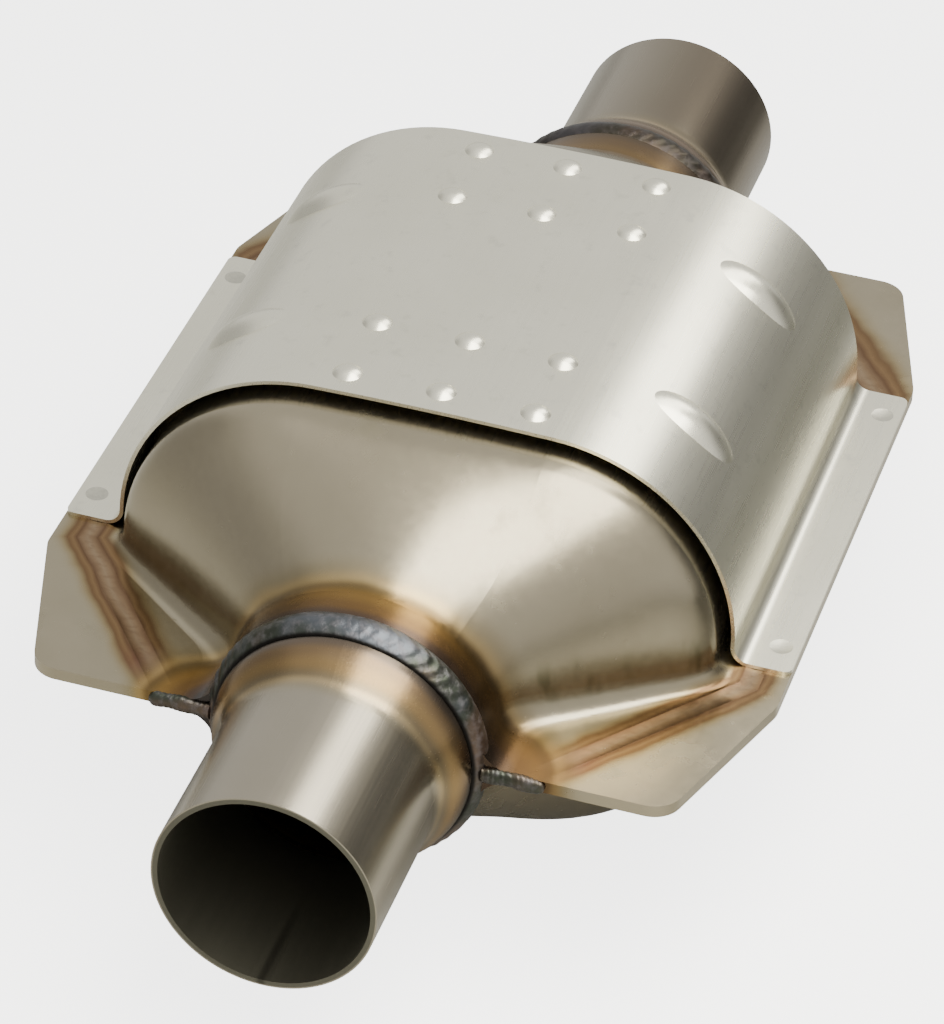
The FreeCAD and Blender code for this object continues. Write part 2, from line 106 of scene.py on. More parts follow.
def cell_walls(start, upright):
    """Points and faces of one set of parallel walls, each a thin sheet as long as the brick.

    The walls stand half a pitch either side of the middle and one pitch apart. Each reaches to where
    the oval has the wall's own Y, or Z for a level one. Upright walls end just short of the faces.
    """
    y, z = oval_quarter(BRICK_R - BRICK_SKIN)
    reach = y[0] if upright else z[-1]
    steps = int(reach / CELL_PITCH - 0.5)
    at = (np.arange(-steps, steps + 2) - 0.5) * CELL_PITCH
    middle = np.full_like(at, BRICK_LENGTH / 2)
    thin = np.full_like(at, CELL_WALL / 2)
    if upright:
        centre = np.stack([middle, at, 0 * at], axis=-1)
        size = np.stack([middle - FACE_STEP, thin, np.interp(np.abs(at), y[::-1], z[::-1])], axis=-1)
    else:
        centre = np.stack([middle, 0 * at, at], axis=-1)
        size = np.stack([middle, np.interp(np.abs(at), z, y), thin], axis=-1)
    corner = np.array([(i, j, k) for i in (-1, 1) for j in (-1, 1) for k in (-1, 1)])
    side = np.array([(0, 1, 3, 2), (4, 6, 7, 5), (0, 4, 5, 1), (2, 3, 7, 6), (0, 2, 6, 4), (1, 5, 7, 3)])
    points = centre[:, None, :] + corner[None, :, :] * size[:, None, :] + (start, 0, 0)
    faces = side[None] + len(corner) * np.arange(len(at))[:, None, None]
    return points.reshape(-1, 3), faces.reshape(-1, 4)


def new_piece(name, points, faces, smooth):
    """An object in the scene with a mesh of its own, shaded smooth or flat."""
    mesh = bpy.data.meshes.new(name)
    mesh.from_pydata(points.tolist(), [], faces)
    mesh.polygons.foreach_set("use_smooth", np.full(len(faces), smooth))
    mesh.update()
    piece = bpy.data.objects.new(name, mesh)
    bpy.context.scene.collection.objects.link(piece)
    return piece


def honeycomb(name, start):
    """Brick made of its skin and two crossed sets of walls, as one mesh with its own count of points."""
    points = []
    faces = []
    count = 0
    for some_points, some_faces in (brick_skin(start), cell_walls(start, True), cell_walls(start, False)):
        points.append(some_points * MM)
        faces.append(some_faces + count)
        count += len(some_points)
    return new_piece(name, np.concatenate(points), np.concatenate(faces).tolist(), False)


def add(tree, kind, inputs=None, **settings):
    """Adds a node. Inputs go by name or number to a value or to another node's socket."""
    node = tree.nodes.new(kind)
    for name, value in settings.items():
        setattr(node, name, value)
    for name, value in (inputs or {}).items():
        if isinstance(value, bpy.types.NodeSocket):
            tree.links.new(value, node.inputs[name])
        else:
            node.inputs[name].default_value = value
    return node


def calc(tree, operation, *values, clamp=False):
    """One sum of a material, as the socket of its result."""
    node = add(tree, "ShaderNodeMath", dict(enumerate(values)), operation=operation, use_clamp=clamp)
    return node.outputs[0]


def noise(tree, vector, scale, detail=3.0, roughness=0.5, distortion=0.0):
    """Perlin noise of a vector in millimetres, from 0 to 1."""
    node = add(tree, "ShaderNodeTexNoise", {"Vector": vector, "Scale": scale, "Detail": detail,
                                            "Roughness": roughness, "Distortion": distortion})
    return node.outputs["Fac"]


def mix(tree, factor, first, second):
    """Blend of two colours, which go to the node's sockets 6 and 7."""
    return add(tree, "ShaderNodeMix", {0: factor, 6: first, 7: second}, data_type="RGBA").outputs[2]


def colour(red, green, blue):
    """Linear colour of display values from 0 to 255."""
    def linear(value):
        value = value / 255
        return value / 12.92 if value <= 0.04045 else ((value + 0.055) / 1.055) ** 2.4
    return (linear(red), linear(green), linear(blue), 1.0)


def new_material(name):
    """An empty material with its Principled BSDF, and Object coordinates in millimetres."""
    material = bpy.data.materials.new(name)
    material.use_nodes = True
    tree = material.node_tree
    shader = tree.nodes["Principled BSDF"]
    place = add(tree, "ShaderNodeTexCoord").outputs["Object"]
    point = add(tree, "ShaderNodeVectorMath", {0: place, "Scale": 1 / MM}, operation="SCALE").outputs[0]
    return material, tree, shader, point


def feed(tree, shader, inputs):
    """Sets or links the shader's own sockets."""
    for name, value in inputs.items():
        if isinstance(value, bpy.types.NodeSocket):
            tree.links.new(value, shader.inputs[name])
        else:
            shader.inputs[name].default_value = value


def bump(tree, height, distance, strength=1.0):
    """Normal from a height, distance in millimetres."""
    node = add(tree, "ShaderNodeBump", {"Height": height, "Distance": distance * MM, "Strength": strength})
    return node.outputs["Normal"]


def ceramic_material():
    """Washcoat: two pale browns in wide stains, a darker grit over them, and the grit's own relief."""
    material, tree, shader, point = new_material("Washcoated ceramic")
    grit = noise(tree, point, 1.6, 5.0, 0.65)
    stain = noise(tree, point, 0.04, 3.0)
    base = mix(tree, stain, colour(*WASHCOAT), colour(*STAIN))
    base = mix(tree, calc(tree, "MULTIPLY", grit, 0.5), base, colour(*GRIT))
    feed(tree, shader, {"Base Color": base, "Roughness": 0.85, "Normal": bump(tree, grit, 0.15)})
    return material


ceramic = ceramic_material()
front_start = MIDDLE - BRICK_SPACING / 2 - BRICK_LENGTH
rear_start = MIDDLE + BRICK_SPACING / 2
for place_name, start in (("front", front_start), ("rear", rear_start)):
    brick = honeycomb(f"{place_name}_honeycomb", start)
    brick.data.materials.append(ceramic)
    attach(brick, "root")
    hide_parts(f"{place_name}_brick")


# Support mats. Grey fibre sheets with flecks of mineral, wrapped round each brick. They are pressed
# between brick and shells, swell with heat and keep the brick from rattling.

FIBRE = (150, 146, 136)
DARK_FIBRE = (104, 100, 92)
FLECK = (176, 158, 108)


def fade(tree, value, start, end, low=0.0, high=1.0):
    """Smooth step of a value: low before start, high after end."""
    node = add(tree, "ShaderNodeMapRange", {0: value, 1: start, 2: end, 3: low, 4: high},
               interpolation_type="SMOOTHSTEP")
    return node.outputs[0]


def stretched(tree, vector, scale):
    """The vector with each of its axes scaled, for grain that runs one way."""
    node = add(tree, "ShaderNodeVectorMath", {0: vector, 1: scale}, operation="MULTIPLY")
    return node.outputs[0]


def dress(names, material):
    """Gives CAD nodes a material."""
    for name in names:
        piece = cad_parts[name]
        piece.data.materials.clear()
        piece.data.materials.append(material)


def mat_material():
    """Fibres drawn out along X between two greys, with straw coloured flecks."""
    material, tree, shader, point = new_material("Grey fibre mat")
    fibres = noise(tree, stretched(tree, point, (0.6, 2.4, 2.4)), 1.0, 5.0, 0.7)
    flecks = fade(tree, noise(tree, point, 0.8, 3.0), 0.60, 0.68)
    base = mix(tree, fibres, colour(*FIBRE), colour(*DARK_FIBRE))
    base = mix(tree, flecks, base, colour(*FLECK))
    feed(tree, shader, {"Base Color": base, "Roughness": 0.95, "Normal": bump(tree, fibres, 0.4)})
    return material


dress(["front_mat", "rear_mat"], mat_material())


# Mesh rings. Knitted stainless wire, rolled into a ring at each end of a mat. The rings are pressed in
# with the mats and keep the gas off the fibre.

WIRE = (158, 154, 144)
# Painted shade in the openings of the knit.
WIRE_GAP_SHADE = (60, 58, 54)


def mesh_ring_material():
    """Wires as the higher of two sets of wavy bands that lean opposite ways, with painted shade between
    them.
    """
    material, tree, shader, point = new_material("Knitted wire")
    bands = [add(tree, "ShaderNodeTexWave", {"Vector": vector, "Scale": 0.5, "Distortion": 2.0},
                 wave_type="BANDS", bands_direction="DIAGONAL").outputs["Fac"]
             for vector in (point, stretched(tree, point, (1.0, -1.0, 1.0)))]
    wires = calc(tree, "MAXIMUM", *bands)
    # Painted shade: the openings between the wires are dark grey.
    base = mix(tree, wires, colour(*WIRE_GAP_SHADE), colour(*WIRE))
    feed(tree, shader, {"Base Color": base, "Metallic": 1.0, "Roughness": 0.45,
                        "Normal": bump(tree, wires, 0.4)})
    return material


dress(["front_brick_inlet_mesh_ring", "front_brick_outlet_mesh_ring", "rear_brick_inlet_mesh_ring",
       "rear_brick_outlet_mesh_ring"], mesh_ring_material())


# Half shells. Two identical stampings of 1.5 mm ferritic stainless sheet, one turned over, meet at a
# flat flange. The sheet is satin with smudges from handling, and the welds tint it: rings round each
# neck, and a band along the seam weld on the flange.

SHELL_HALF = 109.8
NECK_R = 31.5
REAR_FROM = 240.0
REAR_FULL = 270.0
REAR_SEAM_SCALE = 0.62
SEAM_SPREAD = 10.0
SEAM_CORNER = 61.1
SEAM_SIDE_Y = 79.0
SEAM_END = 105.3
SEAM_END_Y = 45.5
FLANGE_Z = (2.0, 4.5)
LOW_BAND_BOTTOM = (3.5, 6.5)
LOW_BAND_TOP = (17.0, 9.0)
DARK_RIGHT_TINT_Y = (-6.0, -46.0)
SATIN = (172, 163, 142)
SATIN_BLOTCH = (152, 143, 121)
SMUDGE = (128, 122, 100)
LOW_BAND_TONE = (138, 140, 120)
RUN = (92, 92, 68)
ROLLER_MARK = (116, 92, 70)
PLUM = (120, 76, 70)
DARK_RIGHT_TINT = (84, 66, 50)
REAR_RING = (104, 92, 76)
RING_HUES = [(0.00, (64, 60, 58)), (0.12, (90, 74, 62)), (0.26, (120, 93, 58)), (0.42, (140, 110, 62)),
             (0.56, (116, 95, 58)), (0.66, (176, 150, 98)), (0.78, (146, 130, 92)), (1.00, (166, 157, 134))]
SEAM_HUES = [(0.00, (150, 129, 104)), (0.12, (138, 114, 88)), (0.24, (104, 79, 57)), (0.34, (132, 106, 75)),
             (0.45, (112, 87, 60)), (0.58, (146, 128, 92)), (0.78, (162, 151, 124)), (1.00, (166, 158, 138))]


def group(name, inputs, outputs):
    """A shader node group with its named sockets, and the sockets inside it."""
    tree = bpy.data.node_groups.new(name, "ShaderNodeTree")
    for label, kind in inputs:
        tree.interface.new_socket(label, in_out="INPUT", socket_type=kind)
    for label, kind in outputs:
        tree.interface.new_socket(label, in_out="OUTPUT", socket_type=kind)
    return tree, tree.nodes.new("NodeGroupInput").outputs, tree.nodes.new("NodeGroupOutput").inputs


def placed(tree, inner, inputs):
    """Places a group in a material with its own values, and gives its outputs."""
    node = tree.nodes.new("ShaderNodeGroup")
    node.node_tree = inner
    feed(tree, node, inputs)
    return node.outputs


def hues(tree, share, stops, interpolation):
    """Row of colours over a share from 0 to 1, as the socket of the colour there."""
    ramp = add(tree, "ShaderNodeValToRGB", {0: share})
    ramp.color_ramp.interpolation = interpolation
    while len(ramp.color_ramp.elements) < len(stops):
        ramp.color_ramp.elements.new(0.5)
    for element, (position, value) in zip(ramp.color_ramp.elements, stops):
        element.position = position
        element.color = colour(*value)
    return ramp.outputs["Color"]


def heat_tint():
    """Oxide colours of stainless beside a weld: a row of hues over the distance from the weld.

    Dark grey lies next to the weld, then brown, amber, brown again and straw, as far as the spread.
    A noise moves the distance, so that the bands waver as real ones do.
    """
    tree, source, result = group("Heat tint",
                                 [("Distance", "NodeSocketFloat"), ("Spread", "NodeSocketFloat"),
                                  ("Waver", "NodeSocketFloat"), ("Point", "NodeSocketVector")],
                                 [("Colour", "NodeSocketColor"), ("Mask", "NodeSocketFloat")])
    sway = calc(tree, "SUBTRACT", noise(tree, source["Point"], 0.055, 1.0), 0.5)
    moved = calc(tree, "ADD", source["Distance"], calc(tree, "MULTIPLY", sway, source["Waver"]))
    share = calc(tree, "DIVIDE", moved, source["Spread"], clamp=True)
    tree.links.new(hues(tree, share, RING_HUES, "EASE"), result["Colour"])
    tree.links.new(fade(tree, share, 0.45, 1.0, 1.0, 0.0), result["Mask"])
    return tree


def steel_grain():
    """Fine grain and soft waviness of sheet or tube: a height, the grain's lines and wide blotches.

    The height is 0.008 mm of the lines plus 0.14 mm of slow waves. Grain scales each axis of the lines.
    """
    tree, source, result = group("Steel grain",
                                 [("Point", "NodeSocketVector"), ("Grain", "NodeSocketVector")],
                                 [("Height", "NodeSocketFloat"), ("Lines", "NodeSocketFloat"),
                                  ("Blotches", "NodeSocketFloat")])
    lines = noise(tree, stretched(tree, source["Point"], source["Grain"]), 1.0, 2.0, 0.5)
    blotches = noise(tree, source["Point"], 0.035, 4.0, 0.55, 0.3)
    waves = noise(tree, source["Point"], 0.05, 1.0)
    height = calc(tree, "ADD", calc(tree, "MULTIPLY", lines, 0.008), calc(tree, "MULTIPLY", waves, 0.14))
    tree.links.new(height, result["Height"])
    tree.links.new(lines, result["Lines"])
    tree.links.new(blotches, result["Blotches"])
    return tree


def seam_tint():
    """Tint of the flange beside the seam weld: a pale brown track between pairs of darker lines.

    The hues lie over the distance from the weld, up to the spread, moved by a noise. The mask is full
    up to the outer lines and fades away outside them. Near the flange's ends the track turns plum.
    """
    tree, source, result = group("Seam tint",
                                 [("Distance", "NodeSocketFloat"), ("Along", "NodeSocketFloat"),
                                  ("Point", "NodeSocketVector")],
                                 [("Colour", "NodeSocketColor"), ("Mask", "NodeSocketFloat")])
    sway = calc(tree, "MULTIPLY", calc(tree, "SUBTRACT", noise(tree, source["Point"], 0.10, 2.0), 0.5), 2.2)
    away = calc(tree, "ABSOLUTE", calc(tree, "ADD", source["Distance"], sway))
    share = calc(tree, "DIVIDE", away, SEAM_SPREAD, clamp=True)
    plum = calc(tree, "MULTIPLY", fade(tree, source["Along"], 94.0, 104.0, 0.0, 0.45),
                fade(tree, share, 0.2, 0.7, 1.0, 0.0))
    tree.links.new(mix(tree, plum, hues(tree, share, SEAM_HUES, "LINEAR"), colour(*PLUM)), result["Colour"])
    tree.links.new(fade(tree, share, 0.40, 0.95, 1.0, 0.0), result["Mask"])
    return tree


tint_group = heat_tint()
grain_group = steel_grain()
seam_group = seam_tint()


def places(tree, point):
    """X, distance along X from the middle of the converter, Y and Z of a point, in mm."""
    parts = add(tree, "ShaderNodeSeparateXYZ", {0: point}).outputs
    along = calc(tree, "ABSOLUTE", calc(tree, "SUBTRACT", parts["X"], MIDDLE))
    return parts["X"], along, parts["Y"], parts["Z"]


def radius_of(tree, y, z):
    """Distance from the axis of the pipes: the root of the sum of the squares of Y and Z."""
    return calc(tree, "SQRT", calc(tree, "ADD", calc(tree, "MULTIPLY", y, y), calc(tree, "MULTIPLY", z, z)))


def seam_distance(tree, along, y):
    """Signed distance in plan from the seam weld, a bent line: the larger of two straight lines'."""
    run = math.hypot(SEAM_END - SEAM_CORNER, SEAM_SIDE_Y - SEAM_END_Y)
    share_x = (SEAM_SIDE_Y - SEAM_END_Y) / run
    share_y = (SEAM_END - SEAM_CORNER) / run
    width = calc(tree, "ABSOLUTE", y)
    past_x = calc(tree, "MULTIPLY", calc(tree, "SUBTRACT", along, SEAM_END), share_x)
    past_y = calc(tree, "MULTIPLY", calc(tree, "SUBTRACT", width, SEAM_END_Y), share_y)
    slanted = calc(tree, "ADD", past_x, past_y)
    straight = calc(tree, "SUBTRACT", width, SEAM_SIDE_Y)
    return calc(tree, "MAXIMUM", slanted, straight)


def shell_material(name, rolled):
    """Satin steel with its tints and smudges. Rolled is the strength of the seam rollers' marks.

    Smudges lie in wide patches. A darker band lies low on the upper shell, above the flange, and dark
    runs hang in it, more towards -Y. The seam's tint lies on the flange only and is wider at the rear,
    where its distances count for less. The ring's tint goes by the distance from the neck's end, turns
    dark brown towards -Y and is dull at the rear.
    """
    material, tree, shader, point = new_material(name)
    x, along, y, z = places(tree, point)
    grain = placed(tree, grain_group, {"Point": point, "Grain": (0.5, 0.5, 0.5)})
    steel = mix(tree, grain["Blotches"], colour(*SATIN), colour(*SATIN_BLOTCH))

    smudge = fade(tree, noise(tree, stretched(tree, point, (0.05, 0.05, 0.025)), 1.0, 4.0, 0.6), 0.56, 0.74)
    steel = mix(tree, calc(tree, "MULTIPLY", smudge, 0.35), steel, colour(*SMUDGE))
    runs = fade(tree, noise(tree, stretched(tree, point, (0.17, 0.10, 0.035)), 1.0, 3.0, 0.6), 0.50, 0.66)
    # A darker band low on the upper shell, about 4 to 17 mm above the flange, with the runs in it.
    band = calc(tree, "MULTIPLY", fade(tree, z, *LOW_BAND_BOTTOM), fade(tree, z, *LOW_BAND_TOP, 0.0, 0.6))
    runs = calc(tree, "MULTIPLY", calc(tree, "MULTIPLY", runs, band), fade(tree, y, 10.0, -12.0, 0.2, 1.0))
    steel = mix(tree, calc(tree, "MULTIPLY", band, 0.3), steel, colour(*LOW_BAND_TONE))
    steel = mix(tree, runs, steel, colour(*RUN))

    from_seam = calc(tree, "MULTIPLY", seam_distance(tree, along, y),
                     fade(tree, x, 195.0, REAR_FROM, 1.0, REAR_SEAM_SCALE))
    seam = placed(tree, seam_group, {"Distance": from_seam, "Along": along, "Point": point})
    on_flange = fade(tree, calc(tree, "ABSOLUTE", z), *FLANGE_Z, 1.0, 0.0)
    base = mix(tree, calc(tree, "MULTIPLY", seam["Mask"], on_flange), steel, seam["Colour"])
    marks = noise(tree, stretched(tree, point, (0.9, 0.35, 0.9)), 1.0, 3.0, 0.6)
    base = mix(tree, fade(tree, marks, 0.45, 0.65, 0.0, rolled), base, colour(*ROLLER_MARK))

    radial = calc(tree, "SUBTRACT", radius_of(tree, y, z), NECK_R)
    axial = calc(tree, "SUBTRACT", SHELL_HALF, along)
    from_ring = calc(tree, "SQRT", calc(tree, "ADD", calc(tree, "MULTIPLY", radial, radial),
                                        calc(tree, "MULTIPLY", axial, axial)))
    ring = placed(tree, tint_group, {"Point": point, "Distance": calc(tree, "SUBTRACT", from_ring, 3.0),
                                     "Spread": 21.0, "Waver": 3.5})
    base = mix(tree, ring["Mask"], base, ring["Colour"])
    # The ring's tint turns dark brown towards -Y, the right side.
    darker_right = calc(tree, "MULTIPLY", ring["Mask"], fade(tree, y, *DARK_RIGHT_TINT_Y, 0.0, 0.80))
    base = mix(tree, darker_right, base, colour(*DARK_RIGHT_TINT))
    dulled = calc(tree, "MULTIPLY", ring["Mask"], fade(tree, x, REAR_FROM, REAR_FULL, 0.0, 0.65))
    base = mix(tree, dulled, base, colour(*REAR_RING))

    roughness = calc(tree, "ADD", 0.20, calc(tree, "MULTIPLY", grain["Lines"], 0.10))
    roughness = calc(tree, "ADD", roughness, calc(tree, "MULTIPLY", smudge, 0.10))
    feed(tree, shader, {"Base Color": base, "Metallic": 1.0, "Roughness": roughness,
                        "Normal": bump(tree, grain["Height"], 1.0, 0.5)})
    return material


dress(["upper_shell", "lower_shell"], shell_material("Satin stamped stainless", 0.0))


# Seam welds. Resistance welding rollers fuse the two flanges along a track on each side, so the
# fused strip is flush, pale brown between darker lines and crossed by the rollers' fine marks.

TRACK_HALF_WIDTH = 2.35
TRACK_FACE = 1.515
TRACK_HOLLOW = 0.14
TRACK_OVERRUN = (2.7, -2.05)
TRACK_DIP = 0.05


def grid_mesh(name, grid, rows_closed=False, columns_closed=True, ends=None):
    """Smooth mesh over a grid of points, whose rows and columns can each close on themselves.

    Ends are the two points that cap the first and the last row.
    """
    rows, columns = grid.shape[:2]
    index = np.arange(rows * columns).reshape(rows, columns)
    if rows_closed:
        index = np.concatenate([index, index[:1]])
    if columns_closed:
        index = np.concatenate([index, index[:, :1]], axis=1)
    corners = [index[:-1, :-1], index[:-1, 1:], index[1:, 1:], index[1:, :-1]]
    faces = np.stack(corners, axis=-1).reshape(-1, 4).tolist()
    points = grid.reshape(-1, 3)
    if ends is not None:
        first = np.full(columns, len(points))
        faces += np.stack([index[0, 1:], index[0, :-1], first], axis=-1).tolist()
        faces += np.stack([index[-1, :-1], index[-1, 1:], first + 1], axis=-1).tolist()
        points = np.concatenate([points, ends])
    return new_piece(name, points, faces, True)


def seam_strip(name, side):
    """Fused strip that fills the rollers' track on both flanges, bent in plan at its two corners.

    Its faces are hollow: they sink by the track's hollow times one minus the square of the place
    across, which runs from -1 to 1. The hollow runs out near the ends, and each end dips into the
    flange. Rows stand close to each corner, so that the smooth shading turns only there.
    """
    end = np.array((SEAM_END, SEAM_END_Y)) + TRACK_OVERRUN
    path = np.array([end * (-1, 1), (-SEAM_CORNER, SEAM_SIDE_Y), (SEAM_CORNER, SEAM_SIDE_Y), end])
    ahead = np.diff(path, axis=0)
    ahead /= np.linalg.norm(ahead, axis=1)[:, None]
    left = np.stack([-ahead[:, 1], ahead[:, 0]], axis=1)
    mitre = (left[:-1] + left[1:]) / (1 + (left[:-1] * left[1:]).sum(axis=1))[:, None]
    sideways = np.concatenate([left[:1], mitre, left[-1:]])
    place = np.sin(np.linspace(-math.pi / 2, math.pi / 2, 19))
    corner = path[:, None, :] + TRACK_HALF_WIDTH * place[None, :, None] * sideways[:, None, :]
    share = np.array([0, 0.002, 0.02, 0.1, 0.5, 0.9, 0.98, 0.998])[:, None, None]
    runs = [first + (second - first) * share for first, second in zip(corner[:-1], corner[1:])]
    plan = np.concatenate(runs + [corner[-1:]])
    hollow = np.full(len(plan), TRACK_HOLLOW)
    hollow[:3] = hollow[-3:] = 0
    dip = np.zeros(len(plan))
    dip[:2] = dip[-2:] = TRACK_DIP
    height = TRACK_FACE - hollow[:, None] * (1 - place ** 2) - dip[:, None]
    top = np.stack([plan[:, :, 0] + MIDDLE, side * plan[:, :, 1], height], axis=-1)
    under = top[:, ::-1] * (1, 1, -1)
    grid = np.concatenate([top, under], axis=1) * MM
    if side > 0:
        grid = grid[:, ::-1]
    return grid_mesh(name, grid, ends=np.stack([grid[0].mean(axis=0), grid[-1].mean(axis=0)]))


fused_metal = shell_material("Fused seam track", 0.35)
for side_name, side in (("left", 1), ("right", -1)):
    strip = seam_strip(f"{side_name}_seam_strip", side)
    strip.data.materials.append(fused_metal)
    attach(strip, "root")
    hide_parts(f"{side_name}_seam_weld")


# Pipe stubs. Each is a length of welded stainless exhaust tube, 50.8 mm across with a 1.5 mm wall,
# swaged up at its inner end and pushed into the neck. The tube is drawn through rolls, so fine lines
# run along it, and the ring weld leaves straw and brown heat tint at its inner end.

TINT_FROM = 1.4
BORE_R = (24.9, 25.2)
TUBE = (170, 163, 148)
TUBE_BLOTCH = (154, 147, 131)
REAR_TUBE = (112, 102, 88)
BORE = (106, 104, 92)
TUBE_SEAM = (78, 76, 67)


def pipe_material():
    """Tube with its grain, the ring weld's tint and a brown cast at the rear.

    The bore is told from the outside by the radius. It is duller, and has the tube's own seam as a
    soft dark line along the bottom, near the open end.
    """
    material, tree, shader, point = new_material("Drawn stainless tube")
    x, along, y, z = places(tree, point)
    grain = placed(tree, grain_group, {"Point": point, "Grain": (0.02, 2.2, 2.2)})
    steel = mix(tree, grain["Blotches"], colour(*TUBE), colour(*TUBE_BLOTCH))
    browned = calc(tree, "MULTIPLY", fade(tree, x, REAR_FROM, 300.0), fade(tree, y, 16.0, -14.0, 0.3, 0.95))
    steel = mix(tree, browned, steel, colour(*REAR_TUBE))
    from_weld = calc(tree, "SUBTRACT", along, SHELL_HALF + TINT_FROM)
    tint = placed(tree, tint_group, {"Point": point, "Distance": from_weld, "Spread": 17.0, "Waver": 2.6})
    base = mix(tree, calc(tree, "MULTIPLY", tint["Mask"], 0.8), steel, tint["Colour"])

    inside = fade(tree, radius_of(tree, y, z), *BORE_R, 1.0, 0.0)
    bottom = calc(tree, "MULTIPLY", fade(tree, calc(tree, "ABSOLUTE", y), 0.2, 1.5, 1.0, 0.0),
                  fade(tree, z, -20.0, -18.0, 1.0, 0.0))
    bottom = calc(tree, "MULTIPLY", bottom, fade(tree, along, 132.0, 156.0))
    base = mix(tree, inside, base, colour(*BORE))
    base = mix(tree, calc(tree, "MULTIPLY", inside, bottom), base, colour(*TUBE_SEAM))
    roughness = calc(tree, "ADD", 0.19, calc(tree, "MULTIPLY", grain["Lines"], 0.12))
    roughness = calc(tree, "ADD", roughness, calc(tree, "MULTIPLY", inside, 0.3))
    feed(tree, shader, {"Base Color": base, "Metallic": 1.0, "Roughness": roughness,
                        "Normal": bump(tree, grain["Height"], 1.0, 0.6)})
    return material


dress(["inlet_pipe", "outlet_pipe"], pipe_material())


# Ring welds. A bead of stainless filler joins each neck to its pipe. It is laid by a torch that
# pauses as it goes round, so the metal freezes in overlapping crescents, dark with blue grey oxide.

RING_RIPPLES = 58
RING_HEIGHT = 1.65
RIPPLE_HEIGHT = 0.27
RIPPLE_LAG = 1.1
RIPPLE_LEAN = 1.3
RING_PIPE_TOE = np.array([-2.4, 29.75])
RING_NECK_TOE = np.array([5.0, 31.35])
BLUE_GREY = (86, 90, 96)
OLIVE = (62, 66, 58)
BROWN = (98, 84, 74)
WELD_SCALE = (118, 114, 118)
# Painted shade in the groove at the bead's toe on the pipe.
TOE_GROOVE_SHADE = (22, 20, 18)
REAR_BEAD = (54, 44, 38)


def ring_bead(name, shell_end, outward, seed):
    """Bead round a neck: an arched section carried round the axis, with frozen ripples on it.

    The section runs from the toe on the pipe to the toe on the neck along an arc, and back under it.
    Its height is the arc's, plus a leaning wave of the angle round the axis, bent back along the
    section so that each ripple is a crescent, plus a few long waves for the torch's uneven pace.
    """
    rng = np.random.default_rng(seed)
    round_share = np.linspace(0, 1, RING_RIPPLES * 10, endpoint=False)[None, :]
    across = np.linspace(0, 1, 25)[:, None]
    angle = 2 * math.pi * round_share
    pace = sum(rng.uniform(0.1, 0.35) * np.sin(k * angle + rng.uniform(0, 6.28)) for k in (2, 3, 5, 7, 11))
    crescent = RING_RIPPLES * round_share + RIPPLE_LAG * (across - 0.5) ** 2 * 4 + 0.5 * pace
    tooth = crescent - np.floor(crescent)
    ripple = 0.5 - 0.5 * np.cos(2 * math.pi * tooth ** RIPPLE_LEAN)
    dome = np.sin(math.pi * across)
    chord = RING_NECK_TOE - RING_PIPE_TOE
    normal = np.array([-chord[1], chord[0]]) / np.hypot(*chord)
    height = RING_HEIGHT * dome ** 0.8 * (1 + 0.10 * pace)
    height = height + RIPPLE_HEIGHT * ripple * dome ** 0.7 * (0.6 + 0.4 * np.sin(3 * angle + 1.0))
    x = RING_PIPE_TOE[0] + chord[0] * across + normal[0] * height + 0.35 * pace * (across - 0.3)
    radius = RING_PIPE_TOE[1] + chord[1] * across + normal[1] * height
    grid = np.stack([shell_end - outward * x, radius * np.cos(angle), radius * np.sin(angle)], axis=-1) * MM
    if outward > 0:
        grid = grid[:, ::-1]
    return grid_mesh(name, grid, rows_closed=True)


def weld_material():
    """Oxide in slow changes of blue grey, olive and brown, under a fine scale.

    Painted shade makes the groove at the toe on the pipe near black, and the rear bead is browner.
    """
    material, tree, shader, point = new_material("Oxidised weld bead")
    x, along, y, z = places(tree, point)
    hue = noise(tree, point, 0.045, 2.0)
    base = mix(tree, fade(tree, hue, 0.38, 0.50), colour(*BLUE_GREY), colour(*OLIVE))
    base = mix(tree, fade(tree, hue, 0.50, 0.62), base, colour(*BROWN))
    scale = fade(tree, noise(tree, point, 0.5, 4.0, 0.55), 0.40, 0.70)
    base = mix(tree, calc(tree, "MULTIPLY", scale, 0.40), base, colour(*WELD_SCALE))
    # Painted shade: the groove at the bead's toe on the pipe is near black.
    groove = calc(tree, "MULTIPLY", fade(tree, radius_of(tree, y, z), 31.0, 30.2),
                  fade(tree, along, SHELL_HALF, SHELL_HALF + 1.2))
    base = mix(tree, groove, base, colour(*TOE_GROOVE_SHADE))
    base = mix(tree, fade(tree, x, REAR_FROM, REAR_FULL, 0.0, 0.6), base, colour(*REAR_BEAD))
    feed(tree, shader, {"Base Color": base, "Metallic": 0.9,
                        "Roughness": calc(tree, "ADD", 0.36, calc(tree, "MULTIPLY", scale, 0.16)),
                        "Normal": bump(tree, scale, 0.06)})
    return material


weld_metal = weld_material()
for name, shell_end, outward, seed in (("inlet_ring_weld", MIDDLE - SHELL_HALF, -1, 3),
                                       ("outlet_ring_weld", MIDDLE + SHELL_HALF, 1, 5)):
    bead = ring_bead(name.replace("_weld", "_bead"), shell_end, outward, seed)
    bead.data.materials.append(weld_metal)
    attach(bead, "root")
    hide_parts(name)


# Edge welds. Four short beads of the same filler close the open edge of the two flanges beside each
# neck, where the seam weld's rollers can't reach.

EDGE_FROM = 31.5
EDGE_TO = 46.0
EDGE_R = 1.80
EDGE_TIP = 2.4
EDGE_STEP = 1.35
EDGE_SQUASH = 0.55
EDGE_OUT = 0.4


